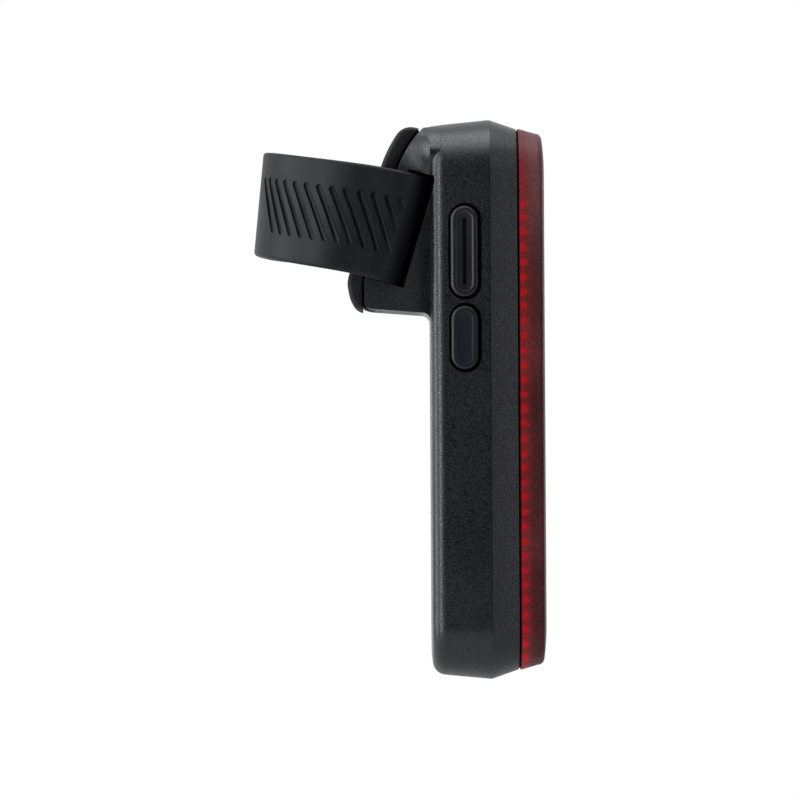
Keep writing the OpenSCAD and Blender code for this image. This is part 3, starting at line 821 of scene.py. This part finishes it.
# finishes
mould = {"insertZ": 9.8, "insertEnd": (27.0, 27.4), "partingDrop": 11.0, "partingSlope": 0.09,
         "lineFade": 0.4}
# shine: where the lens's painted rib highlights, painted glow and painted top sheen lie, in millimetres
shine = {"combPitch": 0.58, "ribsTop": (3.2, 4.4), "glowBedTop": (5.0, 16.0), "glowBedFoot": (-70.0, -58.0),
         "strip": (0.4, 2.5), "topSheenUp": (-16.0, 17.0)}


def sparkFinish():  # housing: eroded texture with bright points and two faint mould lines
    def recipe(wire):
        m = mould
        fine = wire.grain(0.28, 2.5, 0.65)
        clump = wire.grain(0.9, 2.0)
        slow = wire.grain(14.0, 3.0)
        across = wire.axis("X")
        aside = wire.axis("Z") - m["insertZ"]
        onSide = (1 - (aside * aside).above(0.001, 0.014)) * (1 - across.above(*m["insertEnd"]))
        parting = wire.axis("Z") + (across * m["partingSlope"] + m["partingDrop"])
        behind = 1 - across.above(postBack, postBack + m["lineFade"])
        onBlock = (1 - (parting * parting).above(0.001, 0.012)) * behind
        spark = fine * 0.75 + clump * 0.25
        smooth = 1 - across.above(postBack - 3.0, postBack - 0.8)
        gloss = 0.4 - fine.above(0.42, 0.62) * 0.2
        dark, light = rgb(0.001, 0.0012, 0.0022), rgb(0.012, 0.0126, 0.0165)
        return {"Base_Color": spark.above(0.48, 0.7).tint(dark, light),
                "Roughness": slow.above(0.3, 0.7) * 0.05 + smooth * 0.13 + gloss,
                "Normal": wire.bump(spark - (onSide + onBlock) * 0.15, 0.05)}
    return finishOf("shellSpark", recipe, Specular_IOR_Level=0.5, Specular_Tint=rgb(0.9, 0.93, 1.0))


def lensFinish():  # smoked red, with painted highlights and a painted glow of the guide's lit ribs beside the seam, and a painted paler sheen towards the top
    def recipe(wire):
        m = shine
        fine = wire.grain(0.22, 3.0, 0.7)
        slow = wire.grain(11.0, 2.0)
        up = wire.axis("Z")
        past = wire.axis("X") - (postBack + lens["seam"])
        # painted highlight: bright spots where the guide's ribs catch the light, beside the seam, crossed by
        # a fine comb of lines
        turn = (up + (wire.grain(3.2, 1.0) - 0.5) * 0.9) * (2 * math.pi / guide["ribPitch"])
        thin = up * (2 * math.pi / m["combPitch"])
        blob = (turn.sum("SINE", turn, 0.0) - past * 0.6).above(-0.9, 0.75) * (1 - up.above(*m["ribsTop"]))
        comb = thin.sum("SINE", thin, 0.0).above(-0.3, 0.8) * (1 - past.above(0.3, 1.0)) * 0.3
        # painted glow: an even glow along the seam strip, fading near the top and stronger at the foot
        low = 1 - up.above(*m["glowBedFoot"])
        glowBed = (1 - up.above(*m["glowBedTop"])) * 0.26 + low * 0.12 + 0.08
        strip = (1 - past.above(*m["strip"])) * past.above(0.05, 0.25)
        glow = strip * (blob * (0.72 - comb) + glowBed) * (fine * 1.1 + 0.45)
        # painted sheen: the upper part paler and pinker, as if lit by the top lamp, more so away from the
        # seam
        paintedTopSheen = up.above(*m["topSheenUp"]) * (past.above(0.5, 2.8) * 0.75 + 0.25) * (fine * 1.1 - 0.1)
        dark, light = rgb(0.042, 0.005, 0.0066), rgb(0.155, 0.028, 0.034)
        smoke = (fine * 0.7 + slow * 0.3).above(0.4, 0.68).tint(dark, light)
        pale = paintedTopSheen.tint(smoke, rgb(0.26, 0.11, 0.12))
        # painted glow: the rib spots and strip glow are painted into the base colour and also emit, though
        # the lens is no lamp
        return {"Base_Color": glow.tint(pale, rgb(0.36, 0.003, 0.007)),
                "Emission_Color": glow.tint(rgb(0, 0, 0), rgb(0.8, 0.006, 0.012)),
                "Roughness": fine * 0.3 + 0.3,
                "Normal": wire.bump(fine, 0.05)}
    return finishOf("lensRed", recipe, Transmission_Weight=0.1, IOR=1.49, Specular_IOR_Level=0.18,
                    Emission_Strength=0.11)


def guideFinish():
    def recipe(wire):
        slow = wire.grain(1.1, 2.0)
        return {"Base_Color": slow.above(0.35, 0.65).tint(rgb(0.55, 0.008, 0.011), rgb(0.75, 0.02, 0.024)),
                "Roughness": slow * 0.2 + 0.15}
    return finishOf("guideRed", recipe)


rubberLook = dict(Specular_IOR_Level=0.2)
finishes = {
    "shell_plastic": sparkFinish(),
    "lens_red": lensFinish(),
    "guide_red": guideFinish(),
    "seal_rubber": mouldedFinish(
        "sealRubber", rgb(0.002, 0.0008, 0.0009), rgb(0.004, 0.0012, 0.0014), 0.4, 0.01, 0.7,
        Specular_IOR_Level=0.05),
    "button_rubber": mouldedFinish(
        "buttonRubber", rgb(0.0046, 0.0074, 0.0106), rgb(0.0064, 0.0098, 0.0138), 0.22, 0.006, 0.42,
        Specular_IOR_Level=0.3),
    "cover_rubber": mouldedFinish(
        "coverRubber", rgb(0.0036, 0.0046, 0.0066), rgb(0.006, 0.0074, 0.0102), 0.22, 0.006, 0.4,
        Specular_IOR_Level=0.4),
    "pad_rubber": mouldedFinish(
        "padRubber", rgb(0.003, 0.0035, 0.0046), rgb(0.007, 0.0078, 0.0098), 0.3, 0.015, 0.5, **rubberLook),
    "strap_rubber": mouldedFinish(
        "strapRubber", rgb(0.0026, 0.0036, 0.0058), rgb(0.007, 0.0086, 0.0122), 0.26, 0.03, 0.5,
        **rubberLook),
    "reflector_silver": mouldedFinish(
        "reflectorSilver", rgb(0.72, 0.72, 0.74), rgb(0.84, 0.84, 0.86), 0.8, 0.004, 0.2, Metallic=0.9),
    "led_resin": mouldedFinish(
        "ledResin", rgb(0.75, 0.68, 0.42), rgb(0.86, 0.8, 0.55), 0.5, 0.004, 0.3),
    "led_board_white": mouldedFinish(
        "boardWhite", rgb(0.74, 0.74, 0.72), rgb(0.84, 0.84, 0.82), 0.6, 0.004, 0.45),
    "spreader_aluminium": mouldedFinish(
        "spreaderAluminium", rgb(0.5, 0.51, 0.53), rgb(0.62, 0.63, 0.65), 0.4, 0.005, 0.38, Metallic=1.0),
    "chassis_plastic": mouldedFinish(
        "chassisPlastic", rgb(0.018, 0.018, 0.02), rgb(0.03, 0.03, 0.033), 0.5, 0.01, 0.6),
    "screw_steel": mouldedFinish(
        "screwSteel", rgb(0.42, 0.42, 0.43), rgb(0.56, 0.56, 0.57), 0.5, 0.003, 0.32, Metallic=1.0),
    "board_green": mouldedFinish(
        "boardGreen", rgb(0.008, 0.06, 0.024), rgb(0.014, 0.09, 0.036), 0.8, 0.006, 0.35),
    "chip_black": mouldedFinish(
        "chipBlack", rgb(0.012, 0.012, 0.013), rgb(0.022, 0.022, 0.024), 0.3, 0.006, 0.5),
    "socket_steel": mouldedFinish(
        "socketSteel", rgb(0.5, 0.5, 0.51), rgb(0.66, 0.66, 0.67), 0.6, 0.003, 0.28, Metallic=1.0),
    "switch_grey": mouldedFinish(
        "switchGrey", rgb(0.07, 0.075, 0.08), rgb(0.11, 0.115, 0.12), 0.4, 0.006, 0.5),
    "plug_cream": mouldedFinish(
        "plugCream", rgb(0.62, 0.58, 0.46), rgb(0.72, 0.68, 0.55), 0.5, 0.005, 0.45),
    "cell_wrap": mouldedFinish(
        "cellWrap", rgb(0.05, 0.13, 0.26), rgb(0.08, 0.18, 0.34), 1.2, 0.01, 0.32),
    "foam_grey": mouldedFinish(
        "foamGrey", rgb(0.03, 0.03, 0.03), rgb(0.06, 0.06, 0.06), 0.35, 0.06, 0.85),
    "lead_insulation": mouldedFinish(
        "leadInsulation", rgb(0.25, 0.015, 0.012), rgb(0.36, 0.025, 0.02), 0.4, 0.005, 0.4),
    "pin_steel": mouldedFinish(
        "pinSteel", rgb(0.45, 0.45, 0.46), rgb(0.58, 0.58, 0.59), 0.5, 0.003, 0.3, Metallic=1.0),
}
print("finishes made:", len(finishes))

dress(housingPiece, finishes["shell_plastic"], "light", "shell_plastic", "housing")
dress(lensPiece, finishes["lens_red"], "light", "lens_red", "lens")
dress(guidePiece, finishes["guide_red"], "light", "guide_red", "light_guide")
dress(coverPiece, finishes["cover_rubber"], "port_cover", "cover_rubber", "port_cover")
dress(buttonPiece, finishes["button_rubber"], "power_button", "button_rubber", "power_button")
dress(padPiece, finishes["pad_rubber"], "light", "pad_rubber", "saddle_pad")
dress(strapPiece, finishes["strap_rubber"], None, "strap_rubber")
onPost(-13.9, 7, 0.2)
onPost(-13.9, -7, 0.2)
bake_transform(strapPiece)
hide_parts("strap_band", "strap_tail")

# nodes that keep their CAD shape
keptNodes = {"lens_seal": "seal_rubber", "reflector": "reflector_silver", "leds": "led_resin",
             "led_board": "led_board_white", "heat_spreader": "spreader_aluminium",
             "chassis": "chassis_plastic", "chassis_screws": "screw_steel",
             "main_board": "board_green", "chips": "chip_black",
             "usb_socket": "socket_steel", "tact_switch": "switch_grey", "lead_plug": "plug_cream",
             "board_link": "chip_black", "battery": "cell_wrap", "battery_pad": "foam_grey",
             "battery_leads": "lead_insulation", "port_tether": "cover_rubber", "strap_pin": "pin_steel"}
for name, slotName in keptNodes.items():
    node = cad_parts[name]
    for i in range(max(1, len(node.material_slots))):
        if node.material_slots:
            node.material_slots[i].material = finishes[slotName]
        else:
            node.data.materials.append(finishes[slotName])
print("kept nodes finished")


# plain studio: pale floor below the light, soft lamps, white seen behind
studio = {"floorDrop": 120.0, "floorRadius": 0.55, "floorX": 0.011, "fade": (0.25, 0.7), "ambient": 0.08,
          "cardHigh": 2.6,
          "cards": [((0, -1.15, 0), 0, 2.6), ((-1.3, -0.3, 0), 90, 1.7), ((1.3, -0.3, 0), 90, 1.7)]}
scene = bpy.context.scene
scene.view_settings.view_transform = 'Standard'


def softLamp(name, place, aim, width, height, watts):
    data = bpy.data.lights.new(name, 'AREA')
    data.shape = 'RECTANGLE'
    data.size, data.size_y, data.energy = width, height, watts
    lamp = bpy.data.objects.new(name, data)
    lamp.location = place
    lamp.rotation_euler = (Vector(aim) - Vector(place)).to_track_quat('-Z', 'Y').to_euler()
    bpy.context.collection.objects.link(lamp)


softLamp("keyLeft", (-0.6, -0.05, 0.12), (0, 0, -0.02), 0.26, 0.9, 4.6)
softLamp("stripLeft", (-0.46, -0.5, 0.1), (0, 0, -0.03), 0.09, 0.8, 4.0)
softLamp("topSoft", (0.05, -0.08, 0.6), (0.02, 0, 0), 0.45, 0.45, 2.5)
softLamp("rimRight", (0.5, -0.42, 0.06), (0.02, 0, -0.03), 0.2, 0.8, 0.95)

world = bpy.data.worlds.new("studioWhite")
scene.world = world
world.use_nodes = True
worldWire = Wire(world.node_tree)


def seenRays(wire):  # camera, mirror and see-through rays
    total = wire.make("ShaderNodeLightPath", {}, {}, "Is Camera Ray")
    for ray in ("Is Glossy Ray", "Is Transmission Ray"):
        total = total.sum("MAXIMUM", total, wire.make("ShaderNodeLightPath", {}, {}, ray))
    return total


dim = studio["ambient"]
backdrop = seenRays(worldWire).tint(rgb(dim, dim, dim), rgb(1, 1, 1))
world.node_tree.links.new(backdrop.socket, world.node_tree.nodes["Background"].inputs["Color"])

bpy.ops.object.select_all(action='DESELECT')
bpy.ops.mesh.primitive_circle_add(vertices=96, radius=studio["floorRadius"], fill_type='NGON',
                                  location=(studio["floorX"], 0, cadBox[0][2] - studio["floorDrop"] * mm))
floor = bpy.context.object
floor.name = "studioFloor"


def floorFinish():  # pale paper that runs out to white at its edge
    material = bpy.data.materials.new("floorPaper")
    material.use_nodes = True
    tree = material.node_tree
    wire = Wire(tree)
    place = wire.make("ShaderNodeTexCoord", {}, {}, "Object")
    away = wire.make("ShaderNodeVectorMath", {"operation": 'LENGTH'}, {0: place}, "Value")
    fade = away.above(*studio["fade"]) * seenRays(wire)
    paper = tree.nodes["Principled BSDF"]
    paper.inputs["Base Color"].default_value = rgb(0.86, 0.86, 0.86)
    paper.inputs["Roughness"].default_value = 0.9
    glow = wire.make("ShaderNodeEmission", {}, {"Color": rgb(1, 1, 1), "Strength": 1.0})
    mixed = wire.make("ShaderNodeMixShader", {}, {0: fade, 1: Wire(tree, paper.outputs[0]), 2: glow})
    tree.links.new(mixed.socket, tree.nodes["Material Output"].inputs["Surface"])
    return material


floor.data.materials.append(floorFinish())

# dark cards behind the camera and at both sides, so that the faces turned to them mirror a dark room
cardBlack = bpy.data.materials.new("cardBlack")
cardBlack.use_nodes = True
cardBlack.node_tree.nodes["Principled BSDF"].inputs["Base Color"].default_value = rgb(0.012, 0.012, 0.012)
cardBlack.node_tree.nodes["Principled BSDF"].inputs["Roughness"].default_value = 1.0
for place, turn, wide in studio["cards"]:
    bpy.ops.mesh.primitive_plane_add(size=1, rotation=(math.pi / 2, 0, math.radians(turn)))
    card = bpy.context.object
    card.name = "studioCard"
    card.scale = wide, studio["cardHigh"], 1
    card.location = place
    bpy.ops.object.transform_apply(location=True, rotation=True, scale=True)
    card.visible_camera = False
    card.data.materials.append(cardBlack)
print("studio set")
